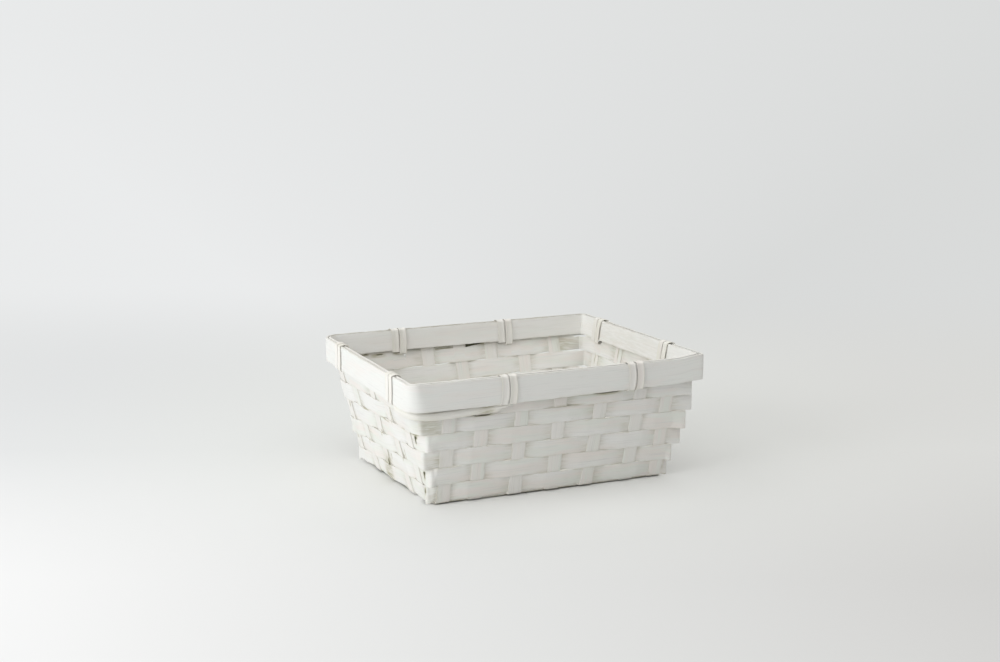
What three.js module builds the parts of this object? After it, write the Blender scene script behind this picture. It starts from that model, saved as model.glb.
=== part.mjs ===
// A tapered rectangular gift basket, plain woven from flat chip-wood strips and painted white.
// Millimetres, Z up. X runs along the long walls, the front wall is at -Y, and the origin lies on
// the floor under the middle of the rim. Each strip, band and lashing is one closed mesh.

import * as THREE from "three";

// Rim: two bands, the outer one upright and the inner one leaning with the wall.
const rimLength = 277;
const rimDepth = 229;
const rimHeight = 111;
const outerBandHeight = 21.7;
const innerBandHeight = 18.9;
const outerBandThickness = 2.2;
const innerBandThickness = 2.2;
const innerBandLean = 3;
const bandSlit = 2.2;
const rimTopRadii = [9, 5, 7, 16];
const rimFootRadii = [16, 5, 7, 16];

// Strips: the stakes stand in the walls and cross under the base, the weavers ring the walls.
const stakeWidth = 12.6;
const stakeThickness = 1;
const weaverThickness = 1;
const baseStripWidth = 9.5;
const clearance = 0.3;
const bendRadius = 2;

// Where one strip crosses another it lies flat this far past the other's edge, and it needs at least
// this run to change sides before the next crossing.
const flatMargin = 0.9;
const leastRun = 1.5;

// Corners run front left, front right, back right, back left, seen from above. The outer band's foot
// hangs a little lower at one of them.
const bandSags = [1.8, 0, 0, 0];
const baseCorners = [
  [-110.1, -86.9],
  [112.8, -89],
  [111, 74],
  [-115.4, 72.7],
];

// How far the woven wall stands inside the rim just under it: along the walls, and at each corner,
// where no stake holds the weavers out and the rings cut in. Part of the way up each corner bulges,
// most at the height that the power gives, and less across the short walls than along the long ones.
const wallInset = 6;
const cornerInsets = [
  [14, 8],
  [8, 8.5],
  [8.5, 9.5],
  [16.5, 9.5],
];
const cornerBulges = [1, 4.5, 2, 1];
const bulgePower = 2;
const bulgeDepthShare = 0.7;
const wallCornerRadius = 2.5;
const wallCornerShare = 0.7;

// Weaver rings, from the foot up: where one ring ends and the next begins, as a share of the wall,
// and at each corner the height of the weave's foot and the bow of the rings. The last ring laps so
// far behind the outer band, and dips under each lashing with a short slope on either side.
const ringShares = [0, 0.16, 0.328, 0.503, 0.683, 0.852, 1];
const footHeights = [1.4, 0.9, 1.2, 0.5];
const ringBows = [4, 0, 0, -6];
const headLap = 0.6;
const dipSlope = 1.2;
const footLift = 2.6;
const footLiftPower = 8;
const ringGap = 0.5;

// Stakes of each wall, from its first corner to its second: places along the foot and along the head
// of the wall, where -1 and 1 are the corners.
const stakePlaces = [
  {
    foot: [-0.907, -0.645, -0.32, 0, 0.29, 0.645, 0.905],
    head: [-0.755, -0.53, -0.26, 0.005, 0.31, 0.59, 0.8],
  },
  { foot: [-0.8, -0.39, 0.04, 0.42, 0.83], head: [-0.7, -0.29, -0.02, 0.29, 0.71] },
  { foot: [-0.88, -0.56, -0.27, 0, 0.3, 0.64, 0.9], head: [-0.75, -0.5, -0.235, 0.01, 0.265, 0.6, 0.815] },
  { foot: [-0.82, -0.42, -0.03, 0.53, 0.86], head: [-0.75, -0.46, 0.035, 0.325, 0.72] },
];
const stakeTopDrop = 4;

// Lashings: each is one strip wound twice round both bands. Its middle lies so far along the wall from
// the head of a stake, counted from the wall's first corner.
const lashingWidth = 6.9;
const lashingThickness = 0.9;
const lashingSlit = 0.9;
const lashingCorner = 1.2;
const lashingClearance = 0.45;
const lashingTurns = 2;
const lashingStartShare = 0.25;
const lashingEndShare = 0.9;
const lashings = [
  { name: "lashing_front_left", wall: 0, stake: 2, shift: -16.5 },
  { name: "lashing_front_right", wall: 0, stake: 5, shift: -9.7 },
  { name: "lashing_right_front", wall: 1, stake: 1, shift: -19 },
  { name: "lashing_right_back", wall: 1, stake: 4, shift: -3.5 },
  { name: "lashing_back_right", wall: 2, stake: 2, shift: -14.9 },
  { name: "lashing_back_left", wall: 2, stake: 5, shift: -15 },
  { name: "lashing_left_back", wall: 3, stake: 1, shift: -14.6 },
  { name: "lashing_left_front", wall: 3, stake: 4, shift: -9.6 },
];

// Loose end of lashing strip that hangs under the rim round the front left corner, from the lashing
// on the left wall to the one on the front: each point is so far in from the rim's left face, in
// from its front face and below its outer band.
const tailWidth = 6.4;
const tailThickness = 0.9;
const tailStart = [1.5, 3.4];
const tailRoute = [
  [2, 25, 3.6],
  [4, 12.5, 3.8],
  [10.5, 5, 4.2],
  [22.5, 3, 4.8],
  [38.5, 3.1, 4.6],
  [54.5, 3.2, 3.9],
  [68.5, 3.1, 3.4],
];
const tailEnd = [2, 3.2];
const tailSteps = 36;

// Steps of the curved stretches.
const rimCornerSteps = 6;
const bendSteps = 3;
const cornerSteps = 2;

const paint = new THREE.MeshStandardMaterial({ color: 0xe9e8e4, roughness: 0.72, metalness: 0 });
const rimPaint = new THREE.MeshStandardMaterial({ color: 0xecebe8, roughness: 0.68, metalness: 0 });
const lashingPaint = new THREE.MeshStandardMaterial({ color: 0xe4e1da, roughness: 0.75, metalness: 0 });

const basket = new THREE.Group();

// Unit vectors out of and along each wall: front, right, back, left. Along runs from the wall's
// first corner to its second, so the four walls follow each other round the basket.
const outward = [
  new THREE.Vector3(0, -1, 0),
  new THREE.Vector3(1, 0, 0),
  new THREE.Vector3(0, 1, 0),
  new THREE.Vector3(-1, 0, 0),
];
const along = [
  new THREE.Vector3(1, 0, 0),
  new THREE.Vector3(0, 1, 0),
  new THREE.Vector3(-1, 0, 0),
  new THREE.Vector3(0, -1, 0),
];
const up = new THREE.Vector3(0, 0, 1);
const cornerSigns = [
  [-1, -1],
  [1, -1],
  [1, 1],
  [-1, 1],
];

const bandFoot = rimHeight - outerBandHeight;
const weaveHead = bandFoot + headLap;
const weaveOffset = stakeThickness / 2 + weaverThickness / 2 + clearance;
const baseOffset = (stakeThickness + clearance) / 2;
const baseHeight = baseOffset + stakeThickness / 2;
const stakeRimInset = outerBandThickness + clearance + stakeThickness / 2;
const lashingPitch = lashingWidth + lashingSlit;
const wallHalf = [rimDepth / 2, rimLength / 2, rimDepth / 2, rimLength / 2];
const bulgePeak = bulgePower / (bulgePower + 1);

function mix(a, b, t) {
  return a + (b - a) * t;
}

// Point of the stakes' surface on a wall, at a place from -1 to 1 of the foot and of the head.
function footPoint(wall, place) {
  const [ax, ay] = baseCorners[wall];
  const [bx, by] = baseCorners[(wall + 1) % 4];
  const t = (place + 1) / 2;
  return new THREE.Vector3(mix(ax, bx, t), mix(ay, by, t), 0);
}
function headPoint(wall, place) {
  const out = wallHalf[wall] - wallInset;
  const half = wallHalf[(wall + 1) % 4] - wallInset;
  return new THREE.Vector3()
    .addScaledVector(outward[wall], out)
    .addScaledVector(along[wall], half * place)
    .setZ(bandFoot);
}
function wallPoint(wall, foot, head, height) {
  return footPoint(wall, foot).lerp(headPoint(wall, head), height / bandFoot);
}
function cornerPoint(corner, height) {
  const [sx, sy] = cornerSigns[corner];
  const [ix, iy] = cornerInsets[corner];
  const head = new THREE.Vector3(sx * (rimLength / 2 - ix), sy * (rimDepth / 2 - iy), bandFoot);
  const t = height / bandFoot;
  const bulge = (cornerBulges[corner] * (t / bulgePeak) ** bulgePower * (1 - t)) / (1 - bulgePeak);
  const point = new THREE.Vector3(...baseCorners[corner], 0).lerp(head, t);
  return point.add(new THREE.Vector3(sx * bulge, sy * bulge * bulgeDepthShare, 0));
}

// A closed mesh along a row of stations. Each station has the middle of the strip's two long edges,
// and the strip is as thick as told, square to its own surface.
function ribbon(name, stations, thickness, material, closed = false) {
  const count = stations.length;
  const points = [];
  for (let i = 0; i < count; i++) {
    const before = stations[closed ? (i + count - 1) % count : Math.max(i - 1, 0)];
    const after = stations[closed ? (i + 1) % count : Math.min(i + 1, count - 1)];
    const [a, b] = stations[i];
    const ahead = after[0].clone().add(after[1]).sub(before[0]).sub(before[1]);
    const out = new THREE.Vector3().crossVectors(ahead, b.clone().sub(a)).setLength(thickness / 2);
    points.push(a.clone().sub(out), a.clone().add(out), b.clone().add(out), b.clone().sub(out));
  }
  const faces = [];
  const steps = closed ? count : count - 1;
  for (let i = 0; i < steps; i++) {
    const here = i * 4;
    const next = ((i + 1) % count) * 4;
    for (let side = 0; side < 4; side++) {
      const other = (side + 1) % 4;
      faces.push(here + side, next + side, next + other);
      faces.push(here + side, next + other, here + other);
    }
  }
  if (!closed) {
    const last = (count - 1) * 4;
    faces.push(0, 1, 2, 0, 2, 3);
    faces.push(last, last + 2, last + 1, last, last + 3, last + 2);
  }
  const geometry = new THREE.BufferGeometry().setFromPoints(points);
  geometry.setIndex(faces);
  geometry.computeVertexNormals();
  const mesh = new THREE.Mesh(geometry, material);
  mesh.name = name;
  basket.add(mesh);
}

// Every stake end round the basket, in the order in which a weaver meets them.
const stakeEnds = stakePlaces.flatMap(({ foot, head }, wall) =>
  foot.map((place, number) => ({ wall, number, foot: place, head: head[number] })),
);

// Height of a line of the weave at a share of the wall, at a place along the wall.
function ringLine(wall, place, share) {
  const t = (place + 1) / 2;
  const [near, far] = [wall, (wall + 1) % 4].map((corner) => {
    return mix(footHeights[corner], weaveHead, share) + ringBows[corner] * Math.sin(Math.PI * share);
  });
  return mix(near, far, t) + footLift * (1 - place ** footLiftPower) * (1 - share);
}

// Height of the outer band's foot at a place along a wall, told from the wall's middle.
function rimFoot(wall, place) {
  const t = (place / wallHalf[(wall + 1) % 4] + 1) / 2;
  return bandFoot - mix(bandSags[wall], bandSags[(wall + 1) % 4], t);
}

// How far along its wall, from the wall's middle, a lashing has its own middle.
function lashingPlace({ wall, stake, shift }) {
  return headPoint(wall, stakePlaces[wall].head[stake]).dot(along[wall]) + shift;
}

// How high the wall reaches under a lashing.
function dipHeight(one) {
  return rimFoot(one.wall, lashingPlace(one)) - lashingClearance - lashingThickness - clearance;
}

// Cuts the top edge of the last ring down under each lashing.
function dipUnderLashings(stations) {
  const half = (lashingWidth + lashingPitch) / 2 + clearance;
  for (const one of lashings) {
    const place = lashingPlace(one);
    const low = dipHeight(one);
    const onLine = (station) => station[1].dot(along[one.wall]) - place;
    const onWall = (station) => station[1].dot(outward[one.wall]) > wallHalf[one.wall] / 2;
    for (const shift of [-half - dipSlope, -half, half, half + dipSlope]) {
      const i = stations.findIndex((station, k) => {
        const next = stations[k + 1] ?? stations[0];
        return onWall(station) && onLine(station) < shift && onLine(next) >= shift;
      });
      const [from, to] = [stations[i], stations[(i + 1) % stations.length]];
      const t = (shift - onLine(from)) / (onLine(to) - onLine(from));
      stations.splice(i + 1, 0, from.map((edge, k) => edge.clone().lerp(to[k], t)));
    }
    for (const station of stations) {
      const [foot, head] = station;
      if (onWall(station) && Math.abs(onLine(station)) < half + dipSlope / 2 && head.z > low) {
        station[1] = foot.clone().lerp(head, (low - foot.z) / (head.z - foot.z));
      }
    }
  }
}

// One weaver ring: flat where it passes a stake, slanting through the wall between two stakes, and
// upright where it turns a corner, a little out on the side whose stake it passes outside.
function weaverRing(name, ring) {
  const flatHalf = stakeWidth / 2 + flatMargin;
  const stations = [];
  const sideOf = (i) => ((i + ring) % 2 ? 1 : -1);
  function onWall(wall, foot, head, shift, offset) {
    const edges = [ringShares[ring], ringShares[ring + 1]].map((share, top) => {
      const height = ringLine(wall, foot, share) + (top ? -ringGap / 2 : ringGap / 2);
      return wallPoint(wall, foot, head, height)
        .addScaledVector(along[wall], shift)
        .addScaledVector(outward[wall], offset);
    });
    stations.push(edges);
  }
  function roundCorner(corner, fromWall, toWall) {
    const last = stakeEnds.filter((end) => end.wall === fromWall).at(-1);
    const first = stakeEnds.find((end) => end.wall === toWall);
    const heights = [ringShares[ring], ringShares[ring + 1]].map(
      (share, top) => ringLine(toWall, -1, share) + (top ? -ringGap / 2 : ringGap / 2),
    );
    const middle = (heights[0] + heights[1]) / 2;
    const tip = cornerPoint(corner, middle)
      .addScaledVector(outward[fromWall], sideOf(stakeEnds.indexOf(last)) * weaveOffset)
      .addScaledVector(outward[toWall], sideOf(stakeEnds.indexOf(first)) * weaveOffset);
    const [from, to] = [last, first].map((end) => {
      const toStake = wallPoint(end.wall, end.foot, end.head, middle).sub(tip);
      const room = (toStake.length() - flatHalf) * wallCornerShare;
      return toStake.setLength(Math.min(wallCornerRadius, room));
    });
    for (let i = 0; i <= cornerSteps; i++) {
      const t = i / cornerSteps;
      const point = tip.clone().addScaledVector(from, (1 - t) ** 2).addScaledVector(to, t ** 2);
      stations.push(heights.map((height) => point.clone().setZ(height)));
    }
  }
  stakeEnds.forEach(({ wall, foot, head }, i) => {
    if (i === 0 || stakeEnds[i - 1].wall !== wall) {
      roundCorner(wall, (wall + 3) % 4, wall);
    } else {
      const last = stakeEnds[i - 1];
      onWall(wall, (foot + last.foot) / 2, (head + last.head) / 2, 0, 0);
    }
    onWall(wall, foot, head, -flatHalf, sideOf(i) * weaveOffset);
    onWall(wall, foot, head, flatHalf, sideOf(i) * weaveOffset);
  });
  if (ring === ringShares.length - 2) dipUnderLashings(stations);
  ribbon(name, stations, weaverThickness, paint, true);
}

// Where two strips of the base cross, seen from above.
function crossing([a, b], [c, d]) {
  const p = b.clone().sub(a);
  const q = d.clone().sub(c);
  const t = ((c.x - a.x) * q.y - (c.y - a.y) * q.x) / (p.x * q.y - p.y * q.x);
  return a.clone().lerp(b, t);
}

// Strips of the base in one direction, each from its foot on one wall to its foot on the other wall,
// with a filler strip between each two stakes that leave it room.
function baseStrips(wall, opposite) {
  const ends = stakeEnds.filter((end) => end.wall === wall);
  const others = stakeEnds.filter((end) => end.wall === opposite).reverse();
  const strips = [];
  const leastRoom = stakeWidth + baseStripWidth + 4 * flatMargin + 2 * leastRun;
  ends.forEach((end, i) => {
    const line = [footPoint(wall, end.foot), footPoint(opposite, others[i].foot)];
    if (i > 0) {
      const last = strips.at(-1).line;
      const room = Math.min(...line.map((p, k) => p.distanceTo(last[k])));
      if (room > leastRoom) {
        strips.push({ line: line.map((p, k) => p.clone().lerp(last[k], 0.5)), width: baseStripWidth });
      }
    }
    strips.push({ line, end, other: others[i], width: stakeWidth });
  });
  return strips;
}

// A rounded bend between two straight stretches, as points of a curve.
function bend(from, tip, to, radius) {
  const a = from.clone().sub(tip).normalize();
  const b = to.clone().sub(tip).normalize();
  const reach = radius / Math.tan(a.angleTo(b) / 2);
  const points = [];
  for (let i = 0; i <= bendSteps; i++) {
    const t = i / bendSteps;
    points.push(tip.clone().addScaledVector(a, reach * (1 - t) ** 2).addScaledVector(b, reach * t ** 2));
  }
  return points;
}

// The lashing that passes through the wall over a stake, if there is one. The stake then ends under it.
function lashingOver({ wall, number }) {
  const reach = (lashingWidth + lashingPitch + stakeWidth) / 2;
  return lashings.find((one) => one.wall === wall && one.stake === number && Math.abs(one.shift) < reach);
}

// The part of a stake that stands in a wall, from the base bend up to its top behind the rim.
function stakeUpright({ wall, number, foot, head }) {
  const low = wallPoint(wall, foot, head, baseHeight);
  const lashing = lashingOver({ wall, number });
  if (lashing) {
    return [low, wallPoint(wall, foot, head, Math.min(ringLine(wall, foot, 1), dipHeight(lashing)))];
  }
  const shoulder = wallPoint(wall, foot, head, weaveHead);
  const behindRim = headPoint(wall, head).addScaledVector(outward[wall], wallInset - stakeRimInset);
  behindRim.z = bandFoot + outerBandHeight / 2;
  const top = behindRim.clone().setZ(rimHeight - stakeTopDrop);
  return [low, shoulder, behindRim, top];
}

// A strip that crosses the base, over and under the strips of the other direction, and on up both
// walls if it is a stake.
function baseStrip(name, strip, direction, crossers, parity) {
  const across = along[direction];
  const run = strip.line[1].clone().sub(strip.line[0]).normalize();
  const path = [];
  crossers.forEach((crosser, i) => {
    const level = (i + parity) % 2 ? 1 : -1;
    const flatHalf = crosser.width / 2 + flatMargin;
    const middle = crossing(strip.line, crosser.line).setZ(baseHeight + level * baseOffset);
    path.push(middle.clone().addScaledVector(run, -flatHalf));
    path.push(middle.clone().addScaledVector(run, flatHalf));
  });
  if (strip.end) {
    const first = stakeUpright(strip.end);
    const last = stakeUpright(strip.other);
    path.unshift(...first.slice(1).reverse(), ...bend(first[1], first[0], path[0], bendRadius));
    path.push(...bend(path.at(-1), last[0], last[1], bendRadius), ...last.slice(1));
  }
  const stations = path.map((point) => [
    point.clone().addScaledVector(across, -strip.width / 2),
    point.clone().addScaledVector(across, strip.width / 2),
  ]);
  ribbon(name, stations, stakeThickness, paint);
}

// A rim band: a closed ring of flat section, as far inside the rim's outer face as told at its top
// and foot. Its foot may hang lower at the corners and turn them more broadly than its top.
function rimBand(name, topInset, footInset, height, thickness, sags = [0, 0, 0, 0]) {
  const stations = [];
  cornerSigns.forEach(([sx, sy], corner) => {
    const edges = [
      [footInset, rimHeight - height - sags[corner], rimFootRadii],
      [topInset, rimHeight, rimTopRadii],
    ].map(([inset, z, radii]) => {
      const radius = Math.max(radii[corner] - inset, thickness);
      const x = sx * (rimLength / 2 - inset - radius);
      const y = sy * (rimDepth / 2 - inset - radius);
      return { radius, centre: new THREE.Vector3(x, y, z) };
    });
    for (let i = 0; i <= rimCornerSteps; i++) {
      const angle = (Math.PI / 2) * (corner + 2 + i / rimCornerSteps);
      const ray = new THREE.Vector3(Math.cos(angle), Math.sin(angle), 0);
      stations.push(edges.map(({ radius, centre }) => centre.clone().addScaledVector(ray, radius)));
    }
  });
  ribbon(name, stations, thickness, rimPaint, true);
}

// A lashing: the strip starts under the outer band, climbs the outer face, crosses the top, comes
// down the inner face, moves on to its next turn under both bands, and ends low on the inner face.
function lashing({ name, wall, stake, shift }) {
  const lift = lashingClearance + lashingThickness / 2;
  const place = lashingPlace({ wall, stake, shift });
  const top = rimHeight + lift;
  const foot = rimFoot(wall, place) - lift;
  const innerFace = outerBandThickness + bandSlit + innerBandThickness + lift;
  const [innerTop, innerFoot] = [top, foot].map(
    (z) => innerFace + (innerBandLean * (rimHeight - z)) / innerBandHeight,
  );
  function at(inset, z, step) {
    return new THREE.Vector3()
      .addScaledVector(outward[wall], wallHalf[wall] - inset)
      .addScaledVector(along[wall], place + lashingPitch * step)
      .setZ(z);
  }
  const loop = (step) => [
    at(-lift, foot, step),
    at(-lift, top, step),
    at(innerTop, top, step),
    at(innerFoot, foot, step),
  ];
  const first = -(lashingTurns - 1) / 2;
  const knots = Array.from({ length: lashingTurns }, (_, turn) => loop(first + turn)).flat();
  const start = knots[0].clone().lerp(loop(first - 1).at(-1), lashingStartShare);
  const end = knots.at(-2).clone().lerp(knots.at(-1), lashingEndShare);
  const route = [start, ...knots.slice(0, -1), end];
  const path = [start];
  for (let i = 1; i < route.length - 1; i++) {
    path.push(...bend(route[i - 1], route[i], route[i + 1], lashingCorner));
  }
  path.push(end);
  const stations = path.map((point) => [
    point.clone().addScaledVector(along[wall], -lashingWidth / 2),
    point.clone().addScaledVector(along[wall], lashingWidth / 2),
  ]);
  ribbon(name, stations, lashingThickness, lashingPaint);
  return leastSelfGap(stations, outerBandHeight);
}

// Least distance between the edges of a strip's different turns, measured on points along them.
function leastSelfGap(stations, apart) {
  const runs = [0];
  for (let i = 1; i < stations.length; i++) {
    runs.push(runs[i - 1] + stations[i][0].distanceTo(stations[i - 1][0]));
  }
  let least = Infinity;
  stations.forEach((one, i) => {
    stations.forEach((two, j) => {
      if (runs[j] - runs[i] < apart) return;
      for (const p of one) {
        for (const q of two) {
          least = Math.min(least, p.distanceTo(q));
        }
      }
    });
  });
  return least;
}

// The loose tail, from the edge of one lashing to the edge of the other.
function looseTail(name, startLashing, endLashing) {
  const left = -rimLength / 2;
  const front = -rimDepth / 2;
  const foot = bandFoot - bandSags[0];
  const halfLashing = (lashingTurns * lashingPitch - lashingSlit) / 2 + clearance;
  const [from, to] = [startLashing, endLashing].map((told) => lashings.find((one) => one.name === told));
  const startY = -lashingPlace(from) - halfLashing;
  const endX = lashingPlace(to) - halfLashing - lashingPitch * lashingStartShare;
  const curve = new THREE.CatmullRomCurve3([
    new THREE.Vector3(left + tailStart[0], startY, foot - tailStart[1]),
    ...tailRoute.map(([x, y, drop]) => new THREE.Vector3(left + x, front + y, foot - drop)),
    new THREE.Vector3(endX, front + tailEnd[0], foot - tailEnd[1]),
  ]);
  const stations = curve.getSpacedPoints(tailSteps).map((point) => [
    point.clone().addScaledVector(up, -tailWidth / 2),
    point.clone().addScaledVector(up, tailWidth / 2),
  ]);
  ribbon(name, stations, tailThickness, lashingPaint);
}

ringShares.slice(1).forEach((share, ring) => weaverRing("weaver_row_" + (ring + 1), ring));

const crosswise = baseStrips(0, 2);
const lengthwise = baseStrips(3, 1).reverse();
crosswise.forEach((strip, i) => {
  const name = strip.end ? "cross_stake_" : "base_cross_strip_";
  const number = crosswise.slice(0, i + 1).filter((other) => !other.end === !strip.end).length;
  baseStrip(name + number, strip, 0, lengthwise, i);
});
lengthwise.forEach((strip, i) => {
  const name = strip.end ? "long_stake_" : "base_long_strip_";
  const number = lengthwise.slice(0, i + 1).filter((other) => !other.end === !strip.end).length;
  baseStrip(name + number, strip, 3, crosswise, i + 1);
});

const outerInset = outerBandThickness / 2;
const innerInset = outerBandThickness + bandSlit + innerBandThickness / 2;
rimBand("outer_rim_band", outerInset, outerInset, outerBandHeight, outerBandThickness, bandSags);
rimBand("inner_rim_band", innerInset, innerInset + innerBandLean, innerBandHeight, innerBandThickness);

const selfGaps = lashings.map(lashing);
looseTail("loose_lashing_tail", "lashing_left_front", "lashing_front_left");
console.log("least gap of a lashing to itself: " + Math.min(...selfGaps).toFixed(2) + " mm");

export default basket;
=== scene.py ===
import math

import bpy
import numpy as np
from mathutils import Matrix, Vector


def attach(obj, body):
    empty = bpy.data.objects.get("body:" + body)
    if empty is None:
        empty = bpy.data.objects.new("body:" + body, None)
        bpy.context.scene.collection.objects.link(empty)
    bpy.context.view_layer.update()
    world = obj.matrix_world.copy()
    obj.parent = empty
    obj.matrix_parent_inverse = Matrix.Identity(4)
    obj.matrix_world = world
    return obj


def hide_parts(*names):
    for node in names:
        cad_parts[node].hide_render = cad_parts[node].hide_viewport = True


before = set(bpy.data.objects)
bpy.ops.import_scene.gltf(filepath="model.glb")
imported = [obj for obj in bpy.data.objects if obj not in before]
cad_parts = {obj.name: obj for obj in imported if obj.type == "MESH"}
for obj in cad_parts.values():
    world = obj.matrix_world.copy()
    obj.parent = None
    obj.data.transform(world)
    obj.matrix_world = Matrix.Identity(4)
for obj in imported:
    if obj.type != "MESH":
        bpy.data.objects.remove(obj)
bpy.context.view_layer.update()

# A white painted gift basket, plain woven from chip-wood strips, on a pale floor in soft light.
# Lengths are in millimetres until a mesh is made. Walls and corners are counted front, right, back,
# left and front left, front right, back right, back left. Each strip is a closed mesh swept along its
# route, with wood grain, uneven edges and splinters in its geometry.

MM = 0.001

# Rim
RIM_LENGTH, RIM_DEPTH, RIM_HEIGHT = 277, 229, 111
OUTER_BAND_HEIGHT, INNER_BAND_HEIGHT = 21.7, 18.9
BAND_THICKNESS, BAND_SLIT, INNER_BAND_LEAN = 2.2, 2.2, 3
RIM_TOP_RADII, RIM_FOOT_RADII = [9, 5, 7, 16], [16, 5, 7, 16]
BAND_SAGS = [1.8, 0, 0, 0]

# Strips
STAKE_WIDTH, STAKE_THICKNESS, WEAVER_THICKNESS = 12.6, 0.9, 0.9
BASE_STRIP_WIDTH, CLEARANCE, BEND_RADIUS = 9.5, 0.3, 2
FLAT_MARGIN, LEAST_RUN = 0.9, 1.5

# Walls
BASE_CORNERS = [(-110.1, -86.9), (112.8, -89), (111, 74), (-115.4, 72.7)]
WALL_INSET = 6
CORNER_INSETS = [(14, 8), (8, 8.5), (8.5, 9.5), (16.5, 9.5)]
CORNER_BULGES = [1, 4.5, 2, 1]
BULGE_POWER, BULGE_DEPTH_SHARE = 2, 0.7
WALL_CORNER_RADIUS, WALL_CORNER_SHARE = 2.2, 0.7
RING_SHARES = [0, 0.16, 0.328, 0.503, 0.683, 0.852, 1]
FOOT_HEIGHTS = [1.4, 0.9, 1.2, 0.5]
RING_BOWS = [4, 0, 0, -6]
HEAD_LAP, DIP_SLOPE, DIP_MARGIN, DIP_LESS = 0.6, 0.6, 0.8, 0.8
FOOT_LIFT, FOOT_LIFT_POWER, RING_GAP = 2.4, 8, 0.1
STAKE_PLACES = [
    ([-0.907, -0.645, -0.32, 0, 0.29, 0.645, 0.905], [-0.755, -0.53, -0.26, 0.005, 0.31, 0.59, 0.8]),
    ([-0.8, -0.39, 0.04, 0.42, 0.83], [-0.7, -0.29, -0.02, 0.29, 0.71]),
    ([-0.88, -0.56, -0.27, 0, 0.3, 0.64, 0.9], [-0.75, -0.5, -0.235, 0.01, 0.265, 0.6, 0.815]),
    ([-0.82, -0.42, -0.03, 0.53, 0.86], [-0.75, -0.46, 0.035, 0.325, 0.72]),
]

# Where a stake bends, above the base and below the weave's head, and how far below the rim it ends.
STAKE_KNEE, STAKE_NECK, STAKE_TOP_DROP = 5, 3, 4

# How far the base bows up between its corners, up to what height and how evenly. Then how much wider
# the strips are there, and the gap from a filler's flared end to the stakes.
BASE_BOW, BASE_BOW_FADE, BASE_BOW_POWER = 0.7, 12, 5
BASE_SPREAD, FILLER_SPREAD, FILLER_GAP = 1.2, 1.6, 0.3

# How far the walls' feet bow out at their middles.
FOOT_BOWS = [2.4, 0.8, 0, 0.8]

# How far the last ring's top edge stands up behind the outer band, and where it falls short on
# the back wall: from, to and how deep at each end. There the outer band's foot hangs lower.
TOP_LAP = 4.2
TOP_NOTCHES = [
    (-98, -72, 3.2, 3.6),
    (-58, -31, 3.8, 4),
    (-26.5, -8.5, 5.6, 5.4),
    (3.5, 28, 5.6, 2.8),
    (63.5, 76, 3.2, 3),
]
NOTCH_SOFTNESS = 1.5
BAND_HANG = (-62, 36, 3, 3)
HANG_SOFTNESS = 14

# Lashings
LASHING_WIDTH, LASHING_THICKNESS, LASHING_SLIT = 6.9, 0.9, 0.9
LASHING_CLEARANCE, LASHING_TURNS = 0.45, 2
LASHING_START_SHARE, LASHING_END_SHARE = 0.25, 0.9
LASHINGS = [
    ("lashing_front_left", 0, 2, -16.5),
    ("lashing_front_right", 0, 5, -9.7),
    ("lashing_right_front", 1, 1, -22),
    ("lashing_right_back", 1, 4, -3.5),
    ("lashing_back_right", 2, 2, -14.9),
    ("lashing_back_left", 2, 5, -15),
    ("lashing_left_back", 3, 1, -14.6),
    ("lashing_left_front", 3, 4, -9.6),
]

OUTWARD = [np.array(v, float) for v in ((0, -1, 0), (1, 0, 0), (0, 1, 0), (-1, 0, 0))]
ALONG = [np.array(v, float) for v in ((1, 0, 0), (0, 1, 0), (-1, 0, 0), (0, -1, 0))]
UP = np.array((0.0, 0.0, 1.0))
CORNER_SIGNS = [(-1, -1), (1, -1), (1, 1), (-1, 1)]

BAND_FOOT = RIM_HEIGHT - OUTER_BAND_HEIGHT
WEAVE_HEAD = BAND_FOOT + HEAD_LAP
STAKE_RIM_INSET = BAND_THICKNESS + CLEARANCE + STAKE_THICKNESS / 2
LASHING_PITCH = LASHING_WIDTH + LASHING_SLIT
WALL_HALF = [RIM_DEPTH / 2, RIM_LENGTH / 2, RIM_DEPTH / 2, RIM_LENGTH / 2]
BULGE_PEAK = BULGE_POWER / (BULGE_POWER + 1)

# A ring passes so far outside or inside the stakes' surface, pressed a little into it, and further
# out or in at a corner. In the base the strips pass so far above or below its height.
WEAVE_PRESS, CORNER_JOG = 0.12, 1.9
WEAVE_OFFSET = STAKE_THICKNESS / 2 + WEAVER_THICKNESS / 2 - WEAVE_PRESS
BASE_HEIGHT, BASE_OFFSET = 1.15, 0.65

# A filler's end from its tip inwards: how far in and how high.
FILLER_ENDS = [(1.3, BASE_HEIGHT + 4.5), (2.6, 0.5), (8.5, 0.5)]


# The shape of the walls

def mix(a, b, t):
    return a + (b - a) * t


def point(x, y, z=0.0):
    return np.array((x, y, z), float)


def unit(v):
    return v / np.linalg.norm(v)


def foot_point(wall, place):
    """Point of the stakes' surface at the foot of a wall, at a place from -1 to 1 along it."""
    at = mix(point(*BASE_CORNERS[wall]), point(*BASE_CORNERS[(wall + 1) % 4]), (place + 1) / 2)
    return at + OUTWARD[wall] * FOOT_BOWS[wall] * (1 - place**4)


def head_point(wall, place):
    """The same at the foot of the rim's outer band."""
    half = WALL_HALF[(wall + 1) % 4] - WALL_INSET
    at = OUTWARD[wall] * (WALL_HALF[wall] - WALL_INSET) + ALONG[wall] * half * place
    return at + UP * BAND_FOOT


def wall_point(wall, foot, head, height):
    return mix(foot_point(wall, foot), head_point(wall, head), height / BAND_FOOT)


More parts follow.
